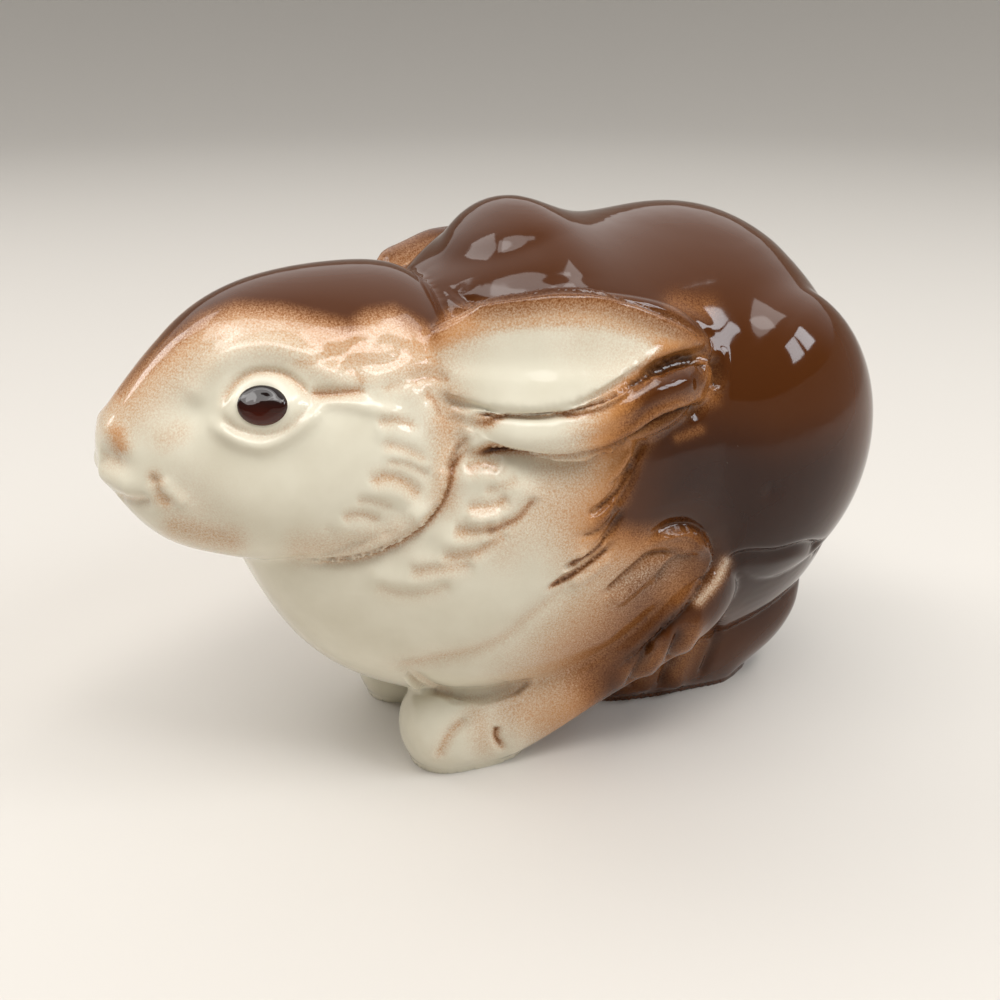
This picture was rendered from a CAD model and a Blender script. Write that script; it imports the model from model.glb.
"""Crouching rabbit figurine: slip-cast earthenware, sprayed with slip stains and clear glazed."""
import math

import bpy
import numpy as np
from mathutils import Matrix, Vector
from mathutils.bvhtree import BVHTree


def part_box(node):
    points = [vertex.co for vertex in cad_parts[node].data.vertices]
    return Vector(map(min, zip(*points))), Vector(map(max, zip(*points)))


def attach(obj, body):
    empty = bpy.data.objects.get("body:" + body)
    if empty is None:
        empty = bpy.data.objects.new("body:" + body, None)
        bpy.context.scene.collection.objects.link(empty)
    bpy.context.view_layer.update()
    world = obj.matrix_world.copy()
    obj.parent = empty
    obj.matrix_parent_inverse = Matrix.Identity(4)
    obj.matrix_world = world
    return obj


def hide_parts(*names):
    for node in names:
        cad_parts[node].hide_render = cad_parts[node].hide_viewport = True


bl_info = {
    "name": "Glazed rabbit figurine",
    "version": (1, 0, 0),
    "blender": (4, 5, 0),
    "location": "3D View > Sidebar > Rabbit",
    "description": "Models, sprays and glazes a cast earthenware rabbit on its packed solids",
    "category": "Object",
}

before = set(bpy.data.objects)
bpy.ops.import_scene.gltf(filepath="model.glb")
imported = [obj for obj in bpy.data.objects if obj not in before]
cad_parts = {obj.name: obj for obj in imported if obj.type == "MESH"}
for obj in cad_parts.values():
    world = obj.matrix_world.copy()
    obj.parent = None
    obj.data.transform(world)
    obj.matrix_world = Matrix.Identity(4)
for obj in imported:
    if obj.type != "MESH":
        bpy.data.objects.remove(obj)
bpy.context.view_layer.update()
MM = 0.001

# The photograph's own view, solved in the row frame: place in mm, right and forward directions,
# and a focal length of one picture width
VIEW_PLACE = np.array((128.7, -67.5, 108.0))
VIEW_RIGHT = np.array((0.45399, 0.89101, 0.0))
VIEW_AXIS = np.array((-0.80083, 0.40805, -0.43837))
VIEW_UP = np.cross(VIEW_RIGHT, VIEW_AXIS)
PICTURE = 1000.0

CAST_NODES = ["torso_shell", "head_shell", "tail", "left_ear", "right_ear", "left_haunch",
              "right_haunch", "left_foreleg", "right_foreleg", "left_hind_foot", "right_hind_foot"]

# Carving, read off the photograph by eye: half width mm, height mm (minus cuts in), stain, then
# the line it follows in picture points. The modeller's tool went over both sides alike.
CARVING = [
    # Eye socket, eyeball, lids and the crease behind the eye
    (3.4, -0.95, 0.0, [(192, 408), (210, 388), (238, 372), (266, 367), (296, 376), (322, 392)]),
    (2.7, 1.15, 0.0, [(238, 407), (262, 405), (288, 404)]),
    (0.55, -0.60, 0.34, [(219, 410), (226, 393), (240, 377), (258, 370), (280, 372), (298, 383), (313, 402)]),
    (0.5, -0.40, 0.14, [(219, 411), (234, 427), (262, 435), (288, 428), (312, 405)]),
    (0.9, 0.70, 0.0, [(204, 418), (225, 434), (242, 442), (262, 446), (282, 440), (301, 427),
                      (316, 414), (326, 402)]),
    (0.9, 0.50, 0.0, [(316, 410), (328, 403), (350, 404), (380, 411), (406, 417)]),
    (0.7, -0.55, 0.50, [(306, 393), (330, 393), (368, 390)]),
    (1.7, 0.80, 0.0, [(196, 390), (216, 366), (244, 352), (274, 349), (300, 358), (330, 378)]),
    # Hollow before the eye, cheek swell, hollow behind the mouth
    (4.0, -0.55, 0.0, [(176, 414), (190, 406), (206, 404)]),
    (10.0, 0.70, 0.0, [(270, 498), (320, 488), (360, 480)]),
    (3.6, -0.60, 0.10, [(190, 500), (206, 516), (222, 534)]),
    (3.2, -0.40, 0.0, [(214, 452), (250, 462), (292, 456)]),
    # Brow curls
    (0.9, -0.16, 0.34, [(286, 361), (313, 363), (331, 358), (345, 351), (362, 343), (372, 347)]),
    (0.9, -0.16, 0.36, [(345, 356), (360, 363), (377, 365), (394, 361), (399, 351), (389, 343), (380, 348)]),
    (1.0, -0.20, 0.36, [(338, 366), (355, 373), (366, 386)]),
    (1.6, 0.24, 0.0, [(344, 379), (372, 381), (398, 374), (426, 368)]),
    (0.9, -0.24, 0.25, [(376, 390), (398, 384), (420, 374), (444, 372)]),
    (0.9, -0.32, 0.42, [(408, 386), (420, 379), (432, 377), (452, 381)]),
    (1.0, -0.36, 0.45, [(422, 390), (436, 402), (441, 420)]),
    (1.5, 0.30, 0.0, [(412, 394), (424, 406), (430, 422)]),
    # Cheek tufts
    (0.9, -0.42, 0.36, [(366, 483), (385, 476), (404, 482), (421, 497)]),
    (1.5, 0.42, 0.0, [(376, 489), (400, 494), (418, 508)]),
    (0.8, -0.34, 0.26, [(339, 518), (358, 513), (380, 519)]),
    (1.5, 0.36, 0.0, [(346, 527), (372, 530), (396, 523)]),
    (0.8, -0.26, 0.28, [(375, 424), (394, 420), (416, 427)]),
    (1.2, 0.22, 0.0, [(370, 431), (398, 432), (424, 441)]),
    (0.7, -0.26, 0.24, [(378, 443), (402, 448), (426, 459)]),
    (1.0, 0.20, 0.0, [(380, 453), (404, 456), (429, 468)]),
    (0.6, -0.24, 0.20, [(382, 461), (407, 464), (429, 476)]),
    (1.2, 0.30, 0.0, [(402, 507), (416, 517), (420, 529)]),
    (0.8, -0.26, 0.16, [(382, 535), (402, 529), (417, 515)]),
    (0.7, -0.20, 0.16, [(352, 500), (370, 499), (392, 506)]),
    (0.7, -0.18, 0.12, [(320, 524), (336, 531), (358, 538)]),
    # Muzzle: nostril, nose pad, lip
    (1.3, -0.65, 0.20, [(99, 456), (110, 460), (122, 461)]),
    (1.8, 0.75, 0.0, [(106, 474), (115, 478), (127, 484)]),
    (1.5, 0.40, 0.0, [(108, 432), (118, 438), (126, 450)]),
    (0.8, -0.50, 0.18, [(112, 497), (132, 500), (152, 500)]),
    (0.7, -0.50, 0.34, [(147, 476), (156, 483), (160, 494), (170, 501)]),
    (1.1, 0.55, 0.0, [(160, 478), (170, 492), (186, 506)]),
    (1.4, -0.35, 0.20, [(166, 524), (200, 532), (228, 532)]),
    (2.0, 0.35, 0.0, [(136, 486), (150, 492), (160, 506)]),
    # Ear: rolled rim, hollow, lobe and curled tip
    (1.0, 0.60, 0.0, [(466, 315), (512, 308), (560, 304), (602, 306), (645, 318), (680, 334), (704, 352)]),
    (3.8, -0.35, 0.0, [(470, 372), (530, 364), (585, 354), (632, 345)]),
    (1.6, 0.75, 0.0, [(470, 430), (505, 431), (547, 434), (586, 426), (624, 408), (650, 394), (684, 382)]),
    (1.2, -0.90, 0.85, [(652, 374), (672, 364), (694, 360), (709, 367)]),
    (0.8, -0.30, 0.80, [(618, 394), (640, 378), (662, 364), (686, 356), (706, 358)]),
    (0.9, -0.70, 0.80, [(708, 352), (716, 368), (716, 390)]),
    (0.8, 0.40, 0.0, [(458, 415), (492, 413), (547, 412), (582, 406), (606, 400)]),
    (1.2, -0.80, 0.40, [(470, 436), (458, 444), (451, 456), (448, 474)]),
    (1.2, -0.55, 0.85, [(600, 454), (622, 446), (640, 436), (660, 423), (684, 413), (708, 405)]),
    (0.6, 0.22, 0.0, [(722, 345), (724, 370), (721, 394)]),
    # Chest fur
    (1.0, -0.40, 0.40, [(463, 472), (481, 464), (500, 469)]),
    (1.8, 0.60, 0.0, [(460, 478), (484, 477), (512, 485)]),
    (0.9, -0.60, 0.52, [(538, 494), (527, 509), (516, 520), (498, 528), (482, 534)]),
    (1.7, 0.55, 0.0, [(526, 492), (514, 506), (500, 516), (482, 522)]),
    (0.9, -0.48, 0.36, [(463, 509), (478, 508), (494, 506), (510, 497)]),
    (1.4, 0.50, 0.0, [(464, 517), (482, 518), (500, 515)]),
    (1.0, -0.50, 0.36, [(450, 532), (475, 531), (496, 526)]),
    (1.6, 0.50, 0.0, [(448, 541), (472, 541), (494, 537)]),
    (1.0, -0.52, 0.36, [(438, 558), (459, 556), (479, 551), (498, 540), (508, 530)]),
    (1.6, 0.46, 0.0, [(420, 564), (446, 562), (470, 558)]),
    (1.1, -0.44, 0.26, [(406, 573), (430, 569), (453, 567), (476, 562)]),
    (1.7, 0.42, 0.0, [(380, 577), (404, 582), (424, 582), (446, 576)]),
    (1.1, -0.28, 0.14, [(370, 585), (396, 593), (424, 593), (454, 583)]),
    (0.9, -0.28, 0.20, [(482, 492), (500, 488), (520, 478)]),
    # Shoulder fur running down toward the elbow
    (0.6, -0.25, 0.76, [(646, 438), (631, 464), (622, 484), (608, 500), (588, 515)]),
    (0.9, 0.45, 0.0, [(634, 446), (618, 470), (604, 490)]),
    (0.5, -0.45, 0.70, [(638, 458), (629, 485), (617, 505), (605, 526), (592, 534), (574, 538)]),
    (0.5, -0.40, 0.60, [(632, 464), (621, 476), (606, 488)]),
    (0.9, 0.40, 0.0, [(622, 500), (610, 514), (596, 524)]),
    (0.6, -0.25, 0.76, [(622, 509), (609, 532), (592, 551), (564, 569)]),
    (0.9, 0.45, 0.0, [(606, 538), (594, 547), (576, 557)]),
    (0.6, -0.25, 0.76, [(614, 542), (592, 561), (566, 579), (546, 591)]),
    (1.0, 0.45, 0.0, [(612, 556), (590, 573), (570, 588)]),
    (1.8, -0.45, 0.20, [(564, 587), (553, 601), (531, 617), (508, 637), (476, 651), (435, 660), (408, 666)]),
    # Elbow lobe and forearm
    (1.5, 0.80, 0.0, [(692, 543), (668, 556), (645, 575), (620, 597)]),
    (0.7, -0.85, 0.70, [(682, 550), (652, 555), (636, 567), (620, 581), (602, 598)]),
    (0.7, -0.70, 0.55, [(695, 552), (674, 557), (663, 566), (657, 582)]),
    (2.2, 0.70, 0.0, [(697, 552), (690, 574), (672, 598)]),
    # Notch behind, hind toes
    (1.3, -0.90, 0.75, [(722, 566), (744, 557), (775, 555), (806, 547), (828, 548)]),
    (0.8, -0.85, 0.70, [(682, 628), (668, 664), (660, 689)]),
    (0.8, -0.80, 0.70, [(652, 640), (637, 671), (627, 689)]),
    (1.6, 0.60, 0.0, [(696, 626), (685, 654), (676, 684)]),
    (1.5, 0.55, 0.0, [(666, 640), (653, 664), (644, 687)]),
    (0.8, -0.55, 0.55, [(722, 616), (712, 648), (700, 677)]),
    # Paw: between the toes
    (0.8, -0.65, 0.36, [(468, 716), (453, 730), (446, 741), (437, 759)]),
    (0.7, -0.75, 0.62, [(498, 724), (496, 737), (502, 748)]),
    (2.4, 0.50, 0.0, [(422, 710), (418, 734), (428, 752)]),
    (2.0, 0.45, 0.0, [(480, 714), (470, 738), (464, 756)]),
    (1.6, 0.35, 0.0, [(520, 718), (516, 738), (514, 750)]),
    # Dish of the nape
    (2.8, -0.45, 0.0, [(432, 258), (462, 258), (500, 252), (530, 244)]),
]

# Edges where one form laps over the next: reach mm, height mm, stain; the raised side is on the left
# hand of one who walks along the line in the picture
LAPS = [
    (1.4, 0.60, 0.60, [(450, 416), (475, 416), (492, 414), (547, 413), (582, 407), (600, 402), (617, 394),
                       (631, 383), (646, 369), (664, 360), (683, 354), (706, 355)]),
    (1.8, 1.10, 0.90, [(453, 453), (469, 450), (494, 447), (523, 449), (539, 453), (566, 455), (595, 451),
                       (615, 445), (634, 434), (654, 420), (676, 410), (699, 404), (715, 394)]),
    (1.6, 0.85, 0.62, [(300, 562), (355, 558), (392, 545), (421, 526), (439, 505), (447, 484), (449, 466),
                       (456, 448), (470, 438)]),
    (1.1, 0.70, 0.45, [(712, 350), (688, 329), (653, 312), (606, 295), (559, 291), (512, 298), (475, 304),
                       (461, 300), (446, 288)]),
    (1.4, 0.95, 0.85, [(610, 672), (635, 654), (658, 632), (676, 616), (694, 596), (707, 569), (711, 548),
                       (702, 534), (686, 529), (665, 534), (646, 544)]),
    (1.8, 0.70, 0.16, [(534, 680), (514, 695), (488, 702), (467, 701), (435, 694), (414, 682), (404, 668)]),
]

# Outlines of what was sprayed, in picture points
BACK_EDGE = [(60, 385), (120, 388), (146, 364), (172, 342), (204, 319), (236, 308), (281, 311), (318, 320),
             (350, 328), (368, 316), (392, 312), (412, 323), (434, 336), (452, 315), (480, 309), (520, 305),
             (560, 301), (600, 302), (640, 312), (680, 329), (705, 345), (722, 372), (740, 460), (980, 460),
             (980, 100), (60, 100)]
FLANK_EDGE = [(706, 344), (719, 382), (716, 402), (690, 414), (664, 428), (644, 450), (634, 474), (626, 498),
              (610, 522), (636, 528), (664, 526), (694, 526), (714, 545), (709, 570), (688, 600), (652, 622),
              (626, 648), (604, 674), (598, 760), (980, 760), (980, 270), (700, 270)]
DEEP_EDGE = [(664, 440), (720, 424), (772, 440), (850, 430), (866, 470), (836, 560), (762, 624), (702, 604),
             (716, 545), (690, 522), (652, 518), (648, 480)]
TIP_EDGE = [(632, 388), (648, 371), (666, 360), (690, 354), (712, 360), (716, 392), (698, 404), (672, 411),
            (650, 424), (628, 438), (612, 444), (622, 424)]
# Each outline with how far inside it, in picture points, the brown and then the tan set in and are full
SPRAYED = [
    (BACK_EDGE, (-16, 14), (-70, 22)),
    (FLANK_EDGE, (-32, 12), (-96, -6)),
    (TIP_EDGE, (-20, 22), (-60, -4)),
]
DEEP_FADE = (-34, 44)

# Inner face of the ear, wiped clean up to a crisp edge
WIPED_EDGE = [(436, 352), (463, 338), (508, 330), (547, 327), (605, 328), (644, 339), (662, 348), (652, 358),
              (632, 374), (612, 388), (585, 399), (547, 406), (492, 408), (462, 404), (446, 384)]

# Passes of the spray gun, then of the wiping sponge: layer, radius, strength, line in picture points
PASSES = [
    ("tan", 10, 0.80, [(116, 432), (120, 446)]),
    ("tan", 7, 0.50, [(154, 476), (158, 482)]),
    ("tan", 7, 0.55, [(160, 498), (166, 502)]),
    ("tan", 15, 0.45, [(176, 526), (204, 534), (232, 540)]),
    ("tan", 13, 0.28, [(164, 440), (178, 432)]),
    ("tan", 26, 0.36, [(330, 352), (380, 360), (430, 376)]),
    ("tan", 15, 0.50, [(442, 424), (446, 460), (444, 500)]),
    ("tan", 16, 0.30, [(300, 548), (352, 546), (400, 532)]),
    ("tan", 24, 0.28, [(552, 470), (540, 505), (505, 545)]),
    ("tan", 24, 0.50, [(516, 712), (552, 720)]),
    ("tan", 14, 0.35, [(476, 716), (484, 744)]),
    ("tan", 34, 0.42, [(600, 596), (566, 640), (530, 676)]),
    ("brown", 28, 0.66, [(708, 550), (668, 566), (644, 590)]),
    ("brown", 26, 0.50, [(630, 618), (606, 646), (588, 674)]),
    ("tan", 16, 0.40, [(452, 400), (458, 424)]),
    ("tan", 22, 0.55, [(440, 334), (462, 330)]),
    ("tan", 26, 0.12, [(580, 342), (640, 348)]),
    ("brown", 15, -0.24, [(634, 676), (656, 656)]),
    ("brown", 14, -0.28, [(676, 668), (696, 638)]),
    ("brown", 12, -0.20, [(676, 304), (706, 308)]),
    ("brown", 5, -0.34, [(678, 438), (700, 430)]),
    ("brown", 6, -0.85, [(726, 562), (716, 582), (699, 601)]),
    ("tan", 6, -0.55, [(726, 562), (716, 582), (699, 601)]),
]

# Where the sponge went over the clay most: haunch into back, ear's top into nape, head, chest crease
SOFT_EDGES = [
    [(690, 250), (800, 250), (812, 300), (780, 350), (776, 430), (770, 500), (740, 534), (712, 520),
     (722, 470), (724, 420), (728, 370), (722, 330)],
    [(436, 280), (470, 293), (520, 288), (560, 282), (610, 285), (660, 302), (705, 330), (748, 330),
     (748, 240), (660, 226), (600, 222), (560, 228), (500, 250), (450, 256)],
    [(124, 420), (164, 350), (240, 304), (340, 300), (414, 326), (430, 380), (426, 440), (424, 490),
     (396, 526), (330, 546), (240, 540), (184, 530), (130, 500), (112, 458)],
    [(392, 652), (470, 640), (520, 608), (556, 584), (582, 596), (548, 640), (492, 668), (420, 686),
     (392, 678)],
]
SOFT_PASSES = 140

# Where the wet clay was pushed: place mm, radius mm, push mm, and whether both sides were
PUSHES = [
    ((19, 43, 5), 9.0, (-1.0, -1.9, 0.0), True),
    ((16.5, 41, 0), 5.5, (-0.9, -1.8, 0.0), True),
    ((14.5, -20, 3), 9.0, (-1.2, 0.6, 0.0), True),
    ((-19, -8, 76.5), 7.0, (0.3, 0.0, -0.9), False),
]

# Modelling, in mm: how far the casts swell into each other, and below what height a foot is flat or bare
SWELL = 0.25
FLAT_BELOW = 0.6
BARE_BELOW = 0.05
TORSO_SPLIT_Y = 8

# A drum that shuts the belly vent a little way in, so that only the outer skin is kept, in mm
VENT_Y = 8
PLUG_RADIUS = 6
PLUG_RISE = (2.6, 9.0)
PLUG_SPOKES = 24

# Carved lines: half width in mm over which a stroke has round ends, how far in picture points a lap looks
# for the near edge, samples it is evened over to each side, and the squared gap in mm that samples bridge
ROUND_END = 1.4
LAP_SPREAD = 4
LAP_EVENED = 4
JOINED_BELOW = 6.0

# Eye: middle, corners and half axes in picture points; mm it stands clear and its rim sinks in
EYE_MIDDLE = (262.3, 405.5)
EYE_CORNERS = [(241, 407), (284, 404)]
EYE_RADII = (26.2, 20.9)
EYE_CLEAR = 0.14
EYE_SINK = 0.3
EYE_RINGS = 12
EYE_SPOKES = 56

# Sizes of the patterns in the glaze and the clay, in metres
CLOUD = 0.007
PINHOLE_CELL = 0.005
RIPPLE = 0.004
GRIT = 0.0006

# Stage, in metres: rings of the flat floor, the sweep at its edge, the lamps' brightness and tint
FLOOR_RINGS = (0.3, 0.6, 0.9)
SWEEP_WIDTH = 0.7
SWEEP_HEIGHT = 0.6
FLOOR_SPOKES = 96
CEILING_LEVEL, WINDOW_LEVEL, FRONT_LEVEL = 3.9, 10.5, 6.0
CEILING_EDGE = 0.56
WARM = (1.0, 0.98, 0.96)
COOL = (0.90, 0.95, 1.0)
LAMPS_LOOK_AT = (0, 0, 0.05)

CAST = {}


def linear(text, alpha=1.0):
    """sRGB hex to the linear colour that a shader takes."""
    out = []
    for i in (1, 3, 5):
        c = int(text[i:i + 2], 16) / 255
        out.append(c / 12.92 if c <= 0.04045 else ((c + 0.055) / 1.055) ** 2.4)
    return (*out, alpha)


def colour_prop(name, description, text):
    """Colour property with a default given as sRGB hex."""
    return bpy.props.FloatVectorProperty(name=name, description=description, subtype="COLOR", size=4,
                                         min=0.0, max=1.0, default=linear(text))


class RabbitSizes(bpy.types.PropertyGroup):
    """Sizes of the modelling and of the glaze."""
    grain: bpy.props.FloatProperty(name="Skin spacing", description="Spacing of the modelled skin's points",
                                   default=0.00037, unit="LENGTH")
    blend: bpy.props.IntProperty(name="Sponging", default=34, min=0,
                                 description="Passes of the wet sponge over the luted joints")
    carve: bpy.props.FloatProperty(name="Carving depth", description="Share of the carved depth", default=1.0)
    speckle: bpy.props.FloatProperty(name="Spray droplet", description="Size of a sprayed droplet",
                                     default=0.00024, unit="LENGTH")
    eye_dome: bpy.props.FloatProperty(name="Eye dome", description="Height of the eye over the eyeball",
                                      default=0.0007, unit="LENGTH")


class RabbitColours(bpy.types.PropertyGroup):
    """Colours of the slip stains, the body and the stage."""
    cream: colour_prop("Cream", "Clear glaze over pale clay", "#e4dfcd")
    cream_low: colour_prop("Cream shade", "Pale clay where the glaze lies thick", "#d1cab5")
    tan: colour_prop("Tan", "Thin sprayed stain", "#b9814c")
    rust: colour_prop("Rust", "Brown stain where it lies thin", "#7c3c10")
    brown: colour_prop("Brown", "Full sprayed stain", "#4b260b")
    brown_deep: colour_prop("Deep brown", "Stain pooled in the carving", "#260d03")
    eye: colour_prop("Eye", "Dark eye enamel", "#150805")
    eye_glow: colour_prop("Eye glow", "Eye enamel where light comes through", "#4a1607")
    clay: colour_prop("Clay", "Bare fired clay", "#d9cbb4")
    floor: colour_prop("Floor", "Studio floor", "#ccc7c0")


def settings():
    """The scene's sizes and colours."""
    return bpy.context.scene.rabbit_sizes, bpy.context.scene.rabbit_colours


def to_picture(points):
    """Picture points of places in mm."""
    away = points - VIEW_PLACE
    depth = away @ VIEW_AXIS
    return np.stack((PICTURE / 2 + PICTURE * (away @ VIEW_RIGHT) / depth,
                     PICTURE / 2 - PICTURE * (away @ VIEW_UP) / depth), axis=1)


def eased_line(points, step=2.0):
    """A smooth line through picture points, a few points apart."""
    pts = np.array(points, float)
    pts = np.vstack((2 * pts[0] - pts[1], pts, 2 * pts[-1] - pts[-2]))
    out = []
    for a, b, c, d in zip(pts, pts[1:], pts[2:], pts[3:]):
        for t in np.linspace(0, 1, max(2, int(np.hypot(*(c - b)) / step)), endpoint=False):
            out.append(0.5 * (2 * b + (c - a) * t + (2 * a - 5 * b + 4 * c - d) * t * t
                              + (3 * b - a - 3 * c + d) * t ** 3))
    out.append(pts[-2])
    return np.array(out)


def on_skin(tree, line, spread=0):
    """Places in mm where the view's rays through picture points meet the skin, or its near edge."""
    around = [(0, 0)] + [(spread * i, spread * j) for i, j in ((1, 0), (-1, 0), (0, 1), (0, -1)) if spread]
    out = []
    for px, py in line:
        hits = []
        for right, down in around:
            across, drop = px + right - PICTURE / 2, py + down - PICTURE / 2
            ray = VIEW_AXIS + across / PICTURE * VIEW_RIGHT - drop / PICTURE * VIEW_UP
            hit, _, _, far = tree.ray_cast(Vector(VIEW_PLACE), Vector(ray).normalized())
            if hit is not None:
                hits.append((far, hit))
        if not hits:
            hits.append((0, tree.find_nearest(Vector(VIEW_PLACE + 128 * ray))[0]))
        out.append(min(hits, key=lambda found: found[0])[1])
    return np.array(out)


def inside(points, edge, chunk=40000):
    """Signed distance in picture points to a closed outline, positive inside."""
    a = np.array(edge, float)
    b = np.roll(a, -1, axis=0)
    ab = b - a
    out = np.empty(len(points))
    for i in range(0, len(points), chunk):
        p = points[i:i + chunk, None, :]
        t = np.clip(((p - a) * ab).sum(-1) / (ab * ab).sum(-1), 0, 1)
        near = np.sqrt(((a + t[..., None] * ab - p) ** 2).sum(-1)).min(1)
        crosses = (a[:, 1] > p[..., 1]) != (b[:, 1] > p[..., 1])
        rise = np.where(np.abs(ab[:, 1]) < 1e-9, 1e-9, ab[:, 1])
        x = a[:, 0] + (p[..., 1] - a[:, 1]) / rise * ab[:, 0]
        odd = (crosses & (p[..., 0] < x)).sum(1) % 2 == 1
        out[i:i + chunk] = np.where(odd, near, -near)
    return out


def ease(low, high, x):
    """Smooth step from 0 at low to 1 at high."""
    t = np.clip((x - low) / (high - low), 0, 1)
    return t * t * (3 - 2 * t)


def folded(points):
    """Points brought over to the left half."""
    return np.abs(points * (1, 0, 0)) + points * (0, 1, 1)


def folded_way(points, ways):
    """Directions at places, mirrored to the rabbit's left side."""
    return ways * np.hstack((np.sign(points[:, :1]), np.ones((len(points), 2))))


def along_line(tree, points, line, reach, spread=0):
    """Points near a picture line laid on the skin: index, distance, fade at its ends, nearest sample."""
    samples = on_skin(tree, eased_line(line), spread)
    if spread:
        span = 2 * LAP_EVENED + 1
        wide = np.pad(samples, ((LAP_EVENED, LAP_EVENED), (0, 0)), mode="edge")
        samples = sum(wide[i:i + len(samples)] for i in range(span)) / span
    near = np.where(((points > samples.min(0) - reach) & (points < samples.max(0) + reach)).all(1))[0]
    gap = np.full(len(near), 1e9)
    index = np.zeros(len(near), int)
    for i, place in enumerate(samples):
        step = samples[min(i + 1, len(samples) - 1)] - place
        length = step @ step
        if not 0 < length < JOINED_BELOW:
            step, length = 0 * step, 1.0
        away = points[near] - place
        share = np.clip(away @ step / length, 0, 1)
        d = ((away - share[:, None] * step) ** 2).sum(1)
        closer = d < gap
        gap[closer] = d[closer]
        index[closer] = i
    share = index / max(1, len(samples) - 1)
    return near, np.sqrt(gap), ease(-0.02, 0.16, share) * ease(-0.02, 0.16, 1 - share), index


def edges_of(faces):
    """Unique edges of quads."""
    pairs = np.concatenate([faces[:, [i, (i + 1) % 4]] for i in range(4)])
    return np.unique(np.sort(pairs, axis=1), axis=0)


def sponged(points, edges, passes, pull=0.5, push=-0.52):
    """Even out the skin without shrinking it."""
    n = len(points)
    count = np.maximum(np.bincount(edges.ravel(), minlength=n), 1)[:, None]
    out = points.copy()
    for i in range(passes * 2):
        total = np.empty_like(out)
        for k in range(3):
            total[:, k] = np.bincount(edges[:, 0], out[edges[:, 1], k], n)
            total[:, k] += np.bincount(edges[:, 1], out[edges[:, 0], k], n)
        out += (pull if i % 2 == 0 else push) * (total / count - out)
    return out


def normals_of(points, faces):
    """Point normals, weighted by face area."""
    n = np.cross(points[faces[:, 2]] - points[faces[:, 0]], points[faces[:, 3]] - points[faces[:, 1]])
    out = np.zeros_like(points)
    for i in range(4):
        for k in range(3):
            out[:, k] += np.bincount(faces[:, i], n[:, k], len(points))
    return out / np.maximum(np.linalg.norm(out, axis=1, keepdims=True), 1e-12)


def mesh_from(name, points, faces):
    """Mesh with the given points in metres."""
    mesh = bpy.data.meshes.new(name)
    mesh.from_pydata(points.tolist(), [], faces if isinstance(faces, list) else faces.tolist())
    return mesh


def fan_faces(rings, spokes):
    """Faces of a disc: a middle point, then rings of points."""
    faces = [(0, 1 + k, 1 + (k + 1) % spokes) for k in range(spokes)]
    for i in range(rings - 1):
        for k in range(spokes):
            a, b = 1 + i * spokes + k, 1 + i * spokes + (k + 1) % spokes
            faces.append((a, a + spokes, b + spokes, b))
    return faces


def shown(name, mesh):
    """New object in the scene."""
    obj = bpy.data.objects.new(name, mesh)
    bpy.context.scene.collection.objects.link(obj)
    return obj


def node_arrays(name):
    """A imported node's points in mm, welded, and its triangles."""
    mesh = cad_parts[name].data
    co = np.empty(len(mesh.vertices) * 3, np.float32)
    mesh.vertices.foreach_get("co", co)
    co = co.reshape(-1, 3).astype(float) / MM
    mesh.calc_loop_triangles()
    tri = np.empty(len(mesh.loop_triangles) * 3, np.int32)
    mesh.loop_triangles.foreach_get("vertices", tri)
    keys, back = np.unique(np.round(co, 4), axis=0, return_inverse=True)
    tri = back.reshape(-1)[tri].reshape(-1, 3)
    good = (tri[:, 0] != tri[:, 1]) & (tri[:, 1] != tri[:, 2]) & (tri[:, 0] != tri[:, 2])
    return keys, tri[good]


def swollen(points, tri, by):
    """Triangles' points moved outward, so that luted casts run into each other."""
    n = np.cross(points[tri[:, 1]] - points[tri[:, 0]], points[tri[:, 2]] - points[tri[:, 0]])
    total = np.zeros_like(points)
    for i in range(3):
        for k in range(3):
            total[:, k] += np.bincount(tri[:, i], n[:, k], len(points))
    return points + by * total / np.maximum(np.linalg.norm(total, axis=1, keepdims=True), 1e-12)


def vent_plug(low):
    """Points and faces of the drum that shuts the vent."""
    turn = np.arange(PLUG_SPOKES) * 2 * math.pi / PLUG_SPOKES
    across, along = PLUG_RADIUS * np.cos(turn), VENT_Y + PLUG_RADIUS * np.sin(turn)
    points = [np.stack((across, along, np.full(PLUG_SPOKES, low + rise)), axis=1) for rise in PLUG_RISE]
    ring = np.arange(PLUG_SPOKES)
    after = (ring + 1) % PLUG_SPOKES
    hub = np.zeros(PLUG_SPOKES - 2, int)
    faces = [np.stack((ring, after, after + PLUG_SPOKES), 1),
             np.stack((ring, after + PLUG_SPOKES, ring + PLUG_SPOKES), 1),
             np.stack((hub, ring[2:], ring[1:-1]), 1),
             np.stack((hub, ring[1:-1], ring[2:]), 1) + PLUG_SPOKES]
    return np.concatenate(points), np.concatenate(faces)


def luted(skins, grain):
    """The casts swollen into each other and fused: points in mm, and quads."""
    points, faces, start = [], [], 0
    for co, tri in skins:
        points.append(swollen(co, tri, SWELL))
        faces.append(tri + start)
        start += len(co)
    low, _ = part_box("torso_shell")
    plug, plug_faces = vent_plug(low.z / MM)
    points.append(plug)
    faces.append(plug_faces + start)
    raw = shown("wet_cast", mesh_from("wet_cast", np.concatenate(points) * MM, np.concatenate(faces)))
    fuse = raw.modifiers.new("fuse", "REMESH")
    fuse.mode = "VOXEL"
    fuse.voxel_size = grain
    mesh = bpy.data.meshes.new_from_object(raw.evaluated_get(bpy.context.evaluated_depsgraph_get()))
    bpy.data.objects.remove(raw)
    co = np.empty(len(mesh.vertices) * 3, np.float32)
    mesh.vertices.foreach_get("co", co)
    co = co.reshape(-1, 3).astype(float) / MM
    quads = np.array([p.vertices[:] for p in mesh.polygons if len(p.vertices) == 4])
    bpy.data.meshes.remove(mesh)
    return co, quads


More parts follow.
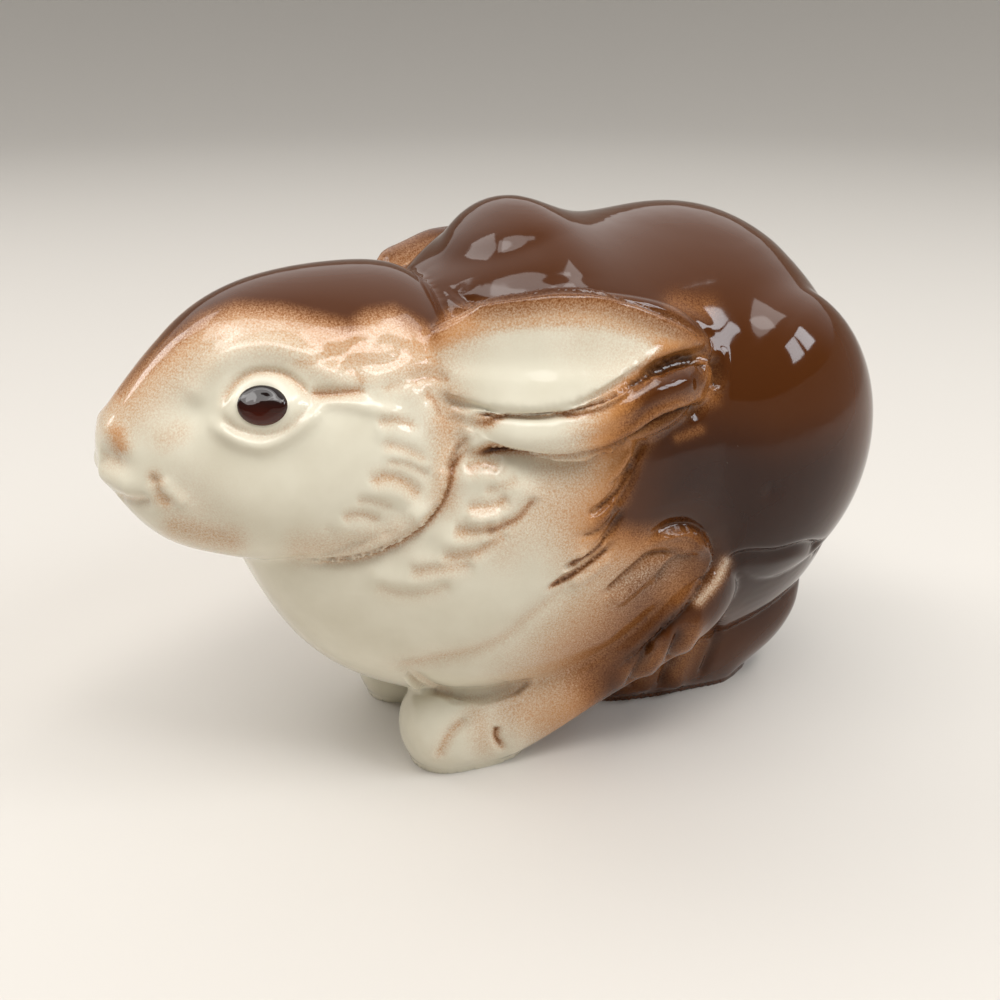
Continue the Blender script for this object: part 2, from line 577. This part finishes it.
def outer_skin(co, quads):
    """The part of the skin that holds the topmost point."""
    edges = edges_of(quads)
    label = np.arange(len(co))
    while True:
        least = label.copy()
        np.minimum.at(least, edges[:, 0], label[edges[:, 1]])
        np.minimum.at(least, edges[:, 1], label[edges[:, 0]])
        least = least[least]
        if (least == label).all():
            break
        label = least
    keep = label == label[np.argmax(co[:, 2])]
    quads = quads[keep[quads[:, 0]]]
    new = np.cumsum(keep) - 1
    return co[keep], new[quads]


def stand(co, flat):
    """Bring the flat feet back to the ground."""
    co[:, 2] = np.maximum(co[:, 2], 0.0)
    co[flat, 2] = 0.0


def soften(co, edges):
    """Sponge the soft patches, both sides alike."""
    fold = folded(co)
    spot = to_picture(fold)
    for edge in SOFT_EDGES:
        soft = ease(-12, 8, inside(spot, edge)) * ease(0, 5, fold[:, 0])
        wet = soft > 0
        number = np.cumsum(wet) - 1
        mine = number[edges[wet[edges].all(1)]]
        co[wet] += soft[wet][:, None] * (sponged(co[wet], mine, SOFT_PASSES, 0.5, 0.0) - co[wet])


def push_clay(co):
    """Push the wet clay at the hind feet, the paws and one ear."""
    for place, radius, push, both in PUSHES:
        gap = ((folded(co) if both else co) - place) ** 2
        share = np.exp(-gap.sum(1) / radius ** 2)[:, None]
        ways = np.tile(push, (len(co), 1))
        co += share * (folded_way(co, ways) if both else ways)


def carved(co, quads, edges, deep):
    """The skin carved on both sides alike, and the stain wiped into the carving."""
    tree = BVHTree.FromPolygons(co.tolist(), quads.tolist())
    normal = normals_of(co, quads)
    fold = folded(co)
    spot = to_picture(fold)
    depth = np.zeros(len(co))
    stain = np.zeros(len(co))
    for half, height, mark, line in CARVING:
        near, gap, along, _ = along_line(tree, fold, line, 2.6 * half)
        if half > ROUND_END:
            along = np.ones(len(near))
        shape = np.exp(-(gap / half) ** 2) * along
        depth[near] += height * deep * shape
        wash = 0.5 * np.exp(-(gap / (1.5 * half)) ** 2) + 0.5 * np.exp(-(gap / (0.6 * half)) ** 2)
        stain[near] = np.maximum(stain[near], mark * wash * along)
    # A lap has a high and a low side only where the view sees it, so it fades out behind the edge
    sight = VIEW_PLACE - fold
    sight /= np.linalg.norm(sight, axis=1)[:, None]
    seen = ease(-0.30, 0.05, (folded_way(co, normal) * sight).sum(1))
    for reach, height, mark, line in LAPS:
        near, gap, along, index = along_line(tree, fold, line, 3.0 * reach, LAP_SPREAD)
        along = along * seen[near]
        path = eased_line(line)
        here = np.clip(index, 1, len(path) - 2)
        run = path[here + 1] - path[here - 1]
        off = spot[near] - path[index]
        side = np.sign(run[:, 1] * off[:, 0] - run[:, 0] * off[:, 1])
        u = side * gap / reach
        depth[near] += height * deep * 1.7 * np.tanh(3.2 * u) * np.exp(-np.abs(u)) * along
        stain[near] = np.maximum(stain[near], mark * np.exp(-((u + 0.30) / 0.42) ** 2) * along)
    co += depth[:, None] * normal
    return sponged(co, edges, 2), stain


def sprayed(co, stain):
    """How much of each stain lies where, worked out in the view it was read in, both sides alike."""
    spot = to_picture(folded(co))
    marks = {"brown": np.zeros(len(co)), "tan": np.zeros(len(co))}
    for edge, full, thin in SPRAYED:
        depth_in = inside(spot, edge)
        marks["brown"] = np.maximum(marks["brown"], ease(*full, depth_in))
        marks["tan"] = np.maximum(marks["tan"], ease(*thin, depth_in))
    wiped = 1 - 0.88 * ease(-4, 7, inside(spot, WIPED_EDGE))
    for layer in marks:
        marks[layer] *= wiped
    for layer, radius, strength, line in PASSES:
        path = eased_line(line, 4.0)
        gap = np.min([((spot - place) ** 2).sum(1) for place in path], axis=0)
        puff = strength * np.exp(-gap / radius ** 2)
        was = marks[layer]
        marks[layer] = was + puff * (1 - was) if strength > 0 else was * (1 + puff)
    marks["tan"] = np.maximum(marks["tan"], np.clip(1.5 * stain, 0, 1))
    marks["brown"] = np.maximum(marks["brown"], ease(0.30, 0.95, stain))
    marks["stain"] = np.maximum(stain, ease(*DEEP_FADE, inside(spot, DEEP_EDGE)))
    return marks


def owners_of(co, quads, skins):
    """Which cast each face belongs to: the one whose solid lies nearest."""
    corners, tris, owner, start = [], [], [], 0
    for index, (pts, tri) in enumerate(skins):
        corners.append(pts)
        tris.append(tri + start)
        owner += [index] * len(tri)
        start += len(pts)
    every = BVHTree.FromPolygons(np.concatenate(corners).tolist(), np.concatenate(tris).tolist())
    return np.array([owner[every.find_nearest(Vector(m))[2]] for m in co[quads].mean(1)])


def model_cast():
    """Lute the casts into one skin, sponge the joints, carve it and find where each stain lies."""
    sizes, _ = settings()
    skins = [node_arrays(name) for name in CAST_NODES]
    co, quads = outer_skin(*luted(skins, sizes.grain))
    edges = edges_of(quads)
    flat = co[:, 2] < FLAT_BELOW
    co = sponged(co, edges, sizes.blend)
    co -= SWELL * normals_of(co, quads)
    stand(co, flat)
    soften(co, edges)
    push_clay(co)
    co, stain = carved(co, quads, edges, sizes.carve)
    stand(co, flat)
    CAST.update(points=co, quads=quads, normal=normals_of(co, quads), marks=sprayed(co, stain),
                owner=owners_of(co, quads, skins))


def piece_from_cast(node, label, low=-math.inf, high=math.inf):
    """One cast's share of the skin, from low to high along Y, as a piece that stands for its node."""
    if not CAST:
        raise RuntimeError("model the cast first")
    along = CAST["points"][CAST["quads"]].mean(1)[:, 1]
    mine = CAST["quads"][(CAST["owner"] == CAST_NODES.index(node)) & (along >= low) & (along < high)]
    used, back = np.unique(mine, return_inverse=True)
    faces = back.reshape(-1, 4)
    mesh = mesh_from(label + "_glazed", CAST["points"][used] * MM, faces)
    for name, values in CAST["marks"].items():
        layer = mesh.attributes.new(name, "FLOAT", "POINT")
        layer.data.foreach_set("value", values[used].astype(np.float32))
    mesh.materials.append(sprayed_glaze())
    mesh.materials.append(bare_clay())
    bare = CAST["points"][mine][:, :, 2].max(1) < BARE_BELOW
    mesh.polygons.foreach_set("material_index", bare.astype(np.int32))
    mesh.polygons.foreach_set("use_smooth", np.ones(len(faces), bool))
    mesh.normals_split_custom_set_from_vertices(CAST["normal"][used].tolist())
    piece = shown(label + "_glazed", mesh)
    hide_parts(node)
    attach(piece, "root")
    return piece


def put(tree, kind, links=(), sockets=(), **values):
    """Add a node, set its properties and sockets, and link what feeds it."""
    node = tree.nodes.new(kind)
    for key, value in values.items():
        setattr(node, key, value)
    for key, value in sockets:
        node.inputs[key].default_value = value
    for key, source in links:
        tree.links.new(source, node.inputs[key])
    return node


def fresh_material(name):
    """Empty node material with its output, and its shader."""
    material = bpy.data.materials.new(name)
    material.use_nodes = True
    tree = material.node_tree
    tree.nodes.clear()
    out = put(tree, "ShaderNodeOutputMaterial")
    shader = put(tree, "ShaderNodeBsdfPrincipled")
    tree.links.new(shader.outputs["BSDF"], out.inputs["Surface"])
    return material, tree, shader


def sprayed_glaze():
    """Earthenware under clear gloss glaze: sprayed stain breaks into droplets at its soft edge."""
    name = "sprayed_earthenware_under_clear_glaze"
    if name in bpy.data.materials:
        return bpy.data.materials[name]
    sizes, colours = settings()
    material, tree, shader = fresh_material(name)
    place = put(tree, "ShaderNodeTexCoord").outputs["Object"]
    droplets = put(tree, "ShaderNodeTexNoise", [("Vector", place)],
                   [("Scale", 1 / sizes.speckle), ("Detail", 2.0), ("Roughness", 0.6)])
    clouds = put(tree, "ShaderNodeTexNoise", [("Vector", place)],
                 [("Scale", 1 / CLOUD), ("Detail", 3.0), ("Roughness", 0.55)])
    cream = put(tree, "ShaderNodeMix", [("Factor", clouds.outputs["Fac"])],
                [("A", colours.cream_low), ("B", colours.cream)], data_type="RGBA")
    colour = cream.outputs["Result"]
    for mark, thin, thick in (("tan", colours.tan, colours.tan), ("brown", colours.rust, colours.brown)):
        level = put(tree, "ShaderNodeAttribute", attribute_name=mark).outputs["Fac"]
        paint = put(tree, "ShaderNodeMix", [("Factor", level)], [("A", thin), ("B", thick)], data_type="RGBA")
        spray = put(tree, "ShaderNodeMath", [(0, droplets.outputs["Fac"])], [(1, 0.5)], operation="SUBTRACT")
        spray = put(tree, "ShaderNodeMath", [(0, spray.outputs[0])], [(1, 1.5)], operation="MULTIPLY")
        room = put(tree, "ShaderNodeMath", [(1, level)], [(0, 1.0)], operation="SUBTRACT")
        room = put(tree, "ShaderNodeMath", [(0, room.outputs[0]), (1, level)], operation="MULTIPLY")
        room = put(tree, "ShaderNodeMath", [(0, room.outputs[0])], [(1, 4.0)], operation="MULTIPLY")
        spray = put(tree, "ShaderNodeMath", [(0, spray.outputs[0]), (1, room.outputs[0]), (2, level)],
                    operation="MULTIPLY_ADD", use_clamp=True)
        mixed = put(tree, "ShaderNodeMix", [("Factor", spray.outputs[0]), ("A", colour),
                                            ("B", paint.outputs["Result"])], data_type="RGBA")
        colour = mixed.outputs["Result"]
    pooled = put(tree, "ShaderNodeAttribute", attribute_name="stain").outputs["Fac"]
    pooled = put(tree, "ShaderNodeMath", [(0, pooled)], [(1, 0.9)], operation="MULTIPLY", use_clamp=True)
    brown = put(tree, "ShaderNodeAttribute", attribute_name="brown").outputs["Fac"]
    pooled = put(tree, "ShaderNodeMath", [(0, pooled.outputs[0]), (1, brown)], operation="MULTIPLY")
    deep = put(tree, "ShaderNodeMix", [("Factor", pooled.outputs[0]), ("A", colour)],
               [("B", colours.brown_deep)], data_type="RGBA")
    # Pinholes in a third of the cells
    cells = put(tree, "ShaderNodeTexVoronoi", [("Vector", place)], [("Scale", 1 / PINHOLE_CELL)])
    chance = put(tree, "ShaderNodeSeparateColor", [("Color", cells.outputs["Color"])])
    chance = put(tree, "ShaderNodeMath", [(0, chance.outputs["Red"])], [(1, 0.66)], operation="GREATER_THAN")
    hole = put(tree, "ShaderNodeMath", [(0, cells.outputs["Distance"])], [(1, 0.03)], operation="LESS_THAN")
    hole = put(tree, "ShaderNodeMath", [(0, hole.outputs[0]), (1, chance.outputs[0])], operation="MULTIPLY")
    hole = put(tree, "ShaderNodeMath", [(0, hole.outputs[0]), (1, brown)], operation="MULTIPLY")
    pricked = put(tree, "ShaderNodeMix", [("Factor", hole.outputs[0]), ("A", deep.outputs["Result"])],
                  [("B", colours.cream)], data_type="RGBA")
    tree.links.new(pricked.outputs["Result"], shader.inputs["Base Color"])
    shader.inputs["Roughness"].default_value = 0.07
    shader.inputs["IOR"].default_value = 1.46
    shader.inputs["Specular IOR Level"].default_value = 0.38
    ripple = put(tree, "ShaderNodeTexNoise", [("Vector", place)], [("Scale", 1 / RIPPLE), ("Detail", 1.0)])
    bump = put(tree, "ShaderNodeBump", [("Height", ripple.outputs["Fac"])],
               [("Strength", 0.25), ("Distance", 0.00012)])
    tree.links.new(bump.outputs["Normal"], shader.inputs["Normal"])
    return material


def bare_clay():
    """Fired clay wiped clean of glaze where the feet stood on the kiln shelf: matt, slightly gritty."""
    name = "bare_fired_clay"
    if name in bpy.data.materials:
        return bpy.data.materials[name]
    _, colours = settings()
    material, tree, shader = fresh_material(name)
    place = put(tree, "ShaderNodeTexCoord").outputs["Object"]
    grit = put(tree, "ShaderNodeTexNoise", [("Vector", place)], [("Scale", 1 / GRIT), ("Detail", 3.0)])
    shade = tuple(c * 0.8 for c in colours.clay[:3]) + (1,)
    tint = put(tree, "ShaderNodeMix", [("Factor", grit.outputs["Fac"])],
               [("A", shade), ("B", colours.clay)], data_type="RGBA")
    tree.links.new(tint.outputs["Result"], shader.inputs["Base Color"])
    shader.inputs["Roughness"].default_value = 0.8
    bump = put(tree, "ShaderNodeBump", [("Height", grit.outputs["Fac"])],
               [("Strength", 0.4), ("Distance", 0.0001)])
    tree.links.new(bump.outputs["Normal"], shader.inputs["Normal"])
    return material


def eye_enamel():
    """Dark enamel drop: near black, warm where light comes through its thin rim."""
    name = "dark_eye_enamel"
    if name in bpy.data.materials:
        return bpy.data.materials[name]
    _, colours = settings()
    material, tree, shader = fresh_material(name)
    place = put(tree, "ShaderNodeTexCoord").outputs["Generated"]
    height = put(tree, "ShaderNodeSeparateXYZ", [("Vector", place)])
    glow = put(tree, "ShaderNodeMapRange", [("Value", height.outputs["Z"])],
               [("From Min", 0.05), ("From Max", 0.75), ("To Min", 1.0), ("To Max", 0.0)])
    tint = put(tree, "ShaderNodeMix", [("Factor", glow.outputs["Result"])],
               [("A", colours.eye), ("B", colours.eye_glow)], data_type="RGBA")
    tree.links.new(tint.outputs["Result"], shader.inputs["Base Color"])
    shader.inputs["Roughness"].default_value = 0.04
    shader.inputs["IOR"].default_value = 1.5
    return material


class CastOperator:
    """Shared steps of the operators that glaze casts."""
    nodes = ()

    def execute(self, context):
        for node in self.nodes:
            piece_from_cast(node, node)
        return {"FINISHED"}


class RABBIT_OT_model(bpy.types.Operator):
    """Lute, sponge, carve and spray the whole cast"""
    bl_idname = "rabbit.model"
    bl_label = "Model the cast"

    def execute(self, context):
        model_cast()
        return {"FINISHED"}


class RABBIT_OT_torso(bpy.types.Operator):
    """Glaze the torso"""
    bl_idname = "rabbit.torso"
    bl_label = "Torso"

    def execute(self, context):
        piece_from_cast("torso_shell", "torso_front", high=TORSO_SPLIT_Y)
        piece_from_cast("torso_shell", "torso_rear", low=TORSO_SPLIT_Y)
        return {"FINISHED"}


class RABBIT_OT_head(CastOperator, bpy.types.Operator):
    """Glaze the head"""
    bl_idname = "rabbit.head"
    bl_label = "Head"
    nodes = ("head_shell",)


class RABBIT_OT_ears(CastOperator, bpy.types.Operator):
    """Glaze both ears"""
    bl_idname = "rabbit.ears"
    bl_label = "Ears"
    nodes = ("left_ear", "right_ear")


class RABBIT_OT_haunches(CastOperator, bpy.types.Operator):
    """Glaze both haunches"""
    bl_idname = "rabbit.haunches"
    bl_label = "Haunches"
    nodes = ("left_haunch", "right_haunch")


class RABBIT_OT_forelegs(CastOperator, bpy.types.Operator):
    """Glaze both forelegs"""
    bl_idname = "rabbit.forelegs"
    bl_label = "Forelegs"
    nodes = ("left_foreleg", "right_foreleg")


class RABBIT_OT_hind_feet(CastOperator, bpy.types.Operator):
    """Glaze both hind feet"""
    bl_idname = "rabbit.hind_feet"
    bl_label = "Hind feet"
    nodes = ("left_hind_foot", "right_hind_foot")


class RABBIT_OT_tail(CastOperator, bpy.types.Operator):
    """Glaze the tail"""
    bl_idname = "rabbit.tail"
    bl_label = "Tail"
    nodes = ("tail",)


class RABBIT_OT_eyes(bpy.types.Operator):
    """Set the enamel eyes on the carved eyeballs"""
    bl_idname = "rabbit.eyes"
    bl_label = "Eyes"

    def execute(self, context):
        sizes, _ = settings()
        if not CAST:
            raise RuntimeError("model the cast first")
        tree = BVHTree.FromPolygons(CAST["points"].tolist(), CAST["quads"].tolist())
        middle, ahead, behind = (Vector(p) for p in on_skin(tree, [EYE_MIDDLE] + EYE_CORNERS))
        facing = sum((tree.find_nearest(p)[1] for p in (middle, ahead, behind)), Vector()).normalized()
        dome = sizes.eye_dome / MM
        points = [middle + facing * (dome + EYE_CLEAR)]
        turns = [2 * math.pi * k / EYE_SPOKES for k in range(EYE_SPOKES)]
        for i in range(1, EYE_RINGS + 1):
            share = i / EYE_RINGS
            spots = [(EYE_MIDDLE[0] + EYE_RADII[0] * share * math.cos(t),
                      EYE_MIDDLE[1] + EYE_RADII[1] * share * math.sin(t)) for t in turns]
            lift = dome * math.sqrt(1 - share ** 2.6) + (EYE_CLEAR if i < EYE_RINGS else -EYE_SINK)
            points += [Vector(place) + facing * lift for place in on_skin(tree, spots)]
        points = np.array(points)
        faces = fan_faces(EYE_RINGS, EYE_SPOKES)
        for side, flip in (("left", 1), ("right", -1)):
            co = points * (flip, 1, 1)
            turned = faces if flip > 0 else [face[::-1] for face in faces]
            mesh = mesh_from(side + "_eye_enamel", co * MM, turned)
            mesh.polygons.foreach_set("use_smooth", np.ones(len(mesh.polygons), bool))
            mesh.materials.append(eye_enamel())
            piece = shown(side + "_eye_enamel", mesh)
            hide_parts(side + "_eye")
            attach(piece, "root")
        return {"FINISHED"}


class RABBIT_OT_stage(bpy.types.Operator):
    """Floor, soft studio light and the camera at the photograph's view"""
    bl_idname = "rabbit.stage"
    bl_label = "Stage"

    def execute(self, context):
        scene = context.scene
        _, colours = settings()
        scene.view_settings.view_transform = "Standard"
        # Round floor that sweeps up into a low wall all round
        profile = [(ring, 0.0) for ring in FLOOR_RINGS]
        for a in np.linspace(0.1, math.pi / 2, 16):
            rise = SWEEP_HEIGHT - SWEEP_HEIGHT * math.cos(a)
            profile.append((FLOOR_RINGS[-1] + SWEEP_WIDTH * math.sin(a), rise))
        points = [(0.0, 0.0, 0.0)]
        for out, rise in profile:
            for k in range(FLOOR_SPOKES):
                turn = 2 * math.pi * k / FLOOR_SPOKES
                points.append((out * math.cos(turn), out * math.sin(turn), rise))
        faces = fan_faces(len(profile), FLOOR_SPOKES)
        floor = shown("studio_floor", mesh_from("studio_floor", np.array(points), faces))
        floor.data.polygons.foreach_set("use_smooth", np.ones(len(faces), bool))
        material, tree, shader = fresh_material("matt_studio_floor")
        shader.inputs["Base Color"].default_value = colours.floor
        shader.inputs["Roughness"].default_value = 0.7
        floor.data.materials.append(material)

        # Soft room light, brighter overhead and toward a pale wall; the camera sees a plain backdrop
        world = bpy.data.worlds.new("studio")
        scene.world = world
        world.use_nodes = True
        tree = world.node_tree
        tree.nodes.clear()
        place = put(tree, "ShaderNodeTexCoord")
        height = put(tree, "ShaderNodeSeparateXYZ", [("Vector", place.outputs["Generated"])])
        level = put(tree, "ShaderNodeMapRange", [("Value", height.outputs["Z"])],
                    [("From Min", 0.0), ("From Max", 0.9), ("To Min", 0.06), ("To Max", 0.18)])
        toward = put(tree, "ShaderNodeVectorMath", [("Vector", place.outputs["Generated"])],
                     operation="DOT_PRODUCT")
        toward.inputs[1].default_value = (-0.72, 0.36, 0.59)
        wall = put(tree, "ShaderNodeMapRange", [("Value", toward.outputs["Value"])],
                   [("From Min", 0.1), ("From Max", 0.95), ("To Min", 0.0), ("To Max", 0.95)],
                   interpolation_type="SMOOTHSTEP")
        total = put(tree, "ShaderNodeMath", [(0, level.outputs["Result"]), (1, wall.outputs["Result"])],
                    operation="ADD")
        sky = put(tree, "ShaderNodeBackground", [("Strength", total.outputs[0])],
                  [("Color", (1.0, 0.99, 0.97, 1))])
        backdrop = put(tree, "ShaderNodeBackground", [], [("Color", colours.floor), ("Strength", 0.9)])
        seen = put(tree, "ShaderNodeLightPath")
        both = put(tree, "ShaderNodeMixShader", [("Fac", seen.outputs["Is Camera Ray"]), (1, sky.outputs[0]),
                                                 (2, backdrop.outputs[0])])
        put(tree, "ShaderNodeOutputWorld", [("Surface", both.outputs[0])])

        def lamp(name, place, width, height, level, tint=(1, 1, 1)):
            """Flat pane of the given brightness that looks at the rabbit."""
            light = bpy.data.lights.new(name, "AREA")
            light.shape = "RECTANGLE"
            light.size, light.size_y = width, height
            light.energy = level * math.pi * width * height
            light.color = tint
            obj = bpy.data.objects.new(name, light)
            scene.collection.objects.link(obj)
            obj.location = place
            aim = Vector(LAMPS_LOOK_AT) - Vector(place)
            obj.rotation_euler = aim.to_track_quat("-Z", "Y").to_euler()

        for i in range(4):
            near = -0.26 if i < 2 else 0.0
            at = ((CEILING_EDGE + near) / 2, -0.36 + 0.19 * i, 0.80)
            lamp("ceiling_pane_%d" % i, at, CEILING_EDGE - near, 0.178, CEILING_LEVEL, WARM)
        lamp("ceiling_pane_far", (-0.42, -0.48, 0.74), 0.30, 0.22, CEILING_LEVEL, WARM)
        for i in range(2):
            at = (0.50 - 0.13 * i, 0.37 + 0.13 * i, 0.555)
            lamp("window_pane_%d" % i, at, 0.15, 0.24, WINDOW_LEVEL, COOL)
        lamp("front_pane", (-0.40, -0.46, 0.42), 0.16, 0.22, FRONT_LEVEL)

        camera = bpy.data.cameras.new("photo_view")
        camera.sensor_width = 36.0
        camera.lens = 36.0
        camera.clip_start = 0.001
        holder = bpy.data.objects.new("photo_view", camera)
        scene.collection.objects.link(holder)
        turn = Matrix((VIEW_RIGHT, VIEW_UP, -VIEW_AXIS)).transposed().to_4x4()
        holder.matrix_world = Matrix.Translation(Vector(VIEW_PLACE * MM)) @ turn
        scene.camera = holder
        return {"FINISHED"}


ORDER = ("model", "torso", "head", "ears", "haunches", "forelegs", "hind_feet", "tail", "eyes", "stage")


class RABBIT_PT_panel(bpy.types.Panel):
    """Sidebar list of the rabbit's steps"""
    bl_idname = "RABBIT_PT_panel"
    bl_label = "Rabbit"
    bl_space_type = "VIEW_3D"
    bl_region_type = "UI"
    bl_category = "Rabbit"

    def draw(self, context):
        for group in (context.scene.rabbit_sizes, context.scene.rabbit_colours):
            for key in group.__annotations__:
                self.layout.prop(group, key)
        for step in ORDER:
            self.layout.operator("rabbit." + step)


CLASSES = (RabbitSizes, RabbitColours, RABBIT_OT_model, RABBIT_OT_torso, RABBIT_OT_head, RABBIT_OT_ears,
           RABBIT_OT_haunches, RABBIT_OT_forelegs, RABBIT_OT_hind_feet, RABBIT_OT_tail, RABBIT_OT_eyes,
           RABBIT_OT_stage, RABBIT_PT_panel)


def register():
    for cls in CLASSES:
        bpy.utils.register_class(cls)
    bpy.types.Scene.rabbit_sizes = bpy.props.PointerProperty(type=RabbitSizes)
    bpy.types.Scene.rabbit_colours = bpy.props.PointerProperty(type=RabbitColours)


def unregister():
    del bpy.types.Scene.rabbit_sizes
    del bpy.types.Scene.rabbit_colours
    for cls in reversed(CLASSES):
        bpy.utils.unregister_class(cls)


def main():
    register()
    for step in ORDER:
        getattr(bpy.ops.rabbit, step)()


if __name__ == "__main__":
    main()
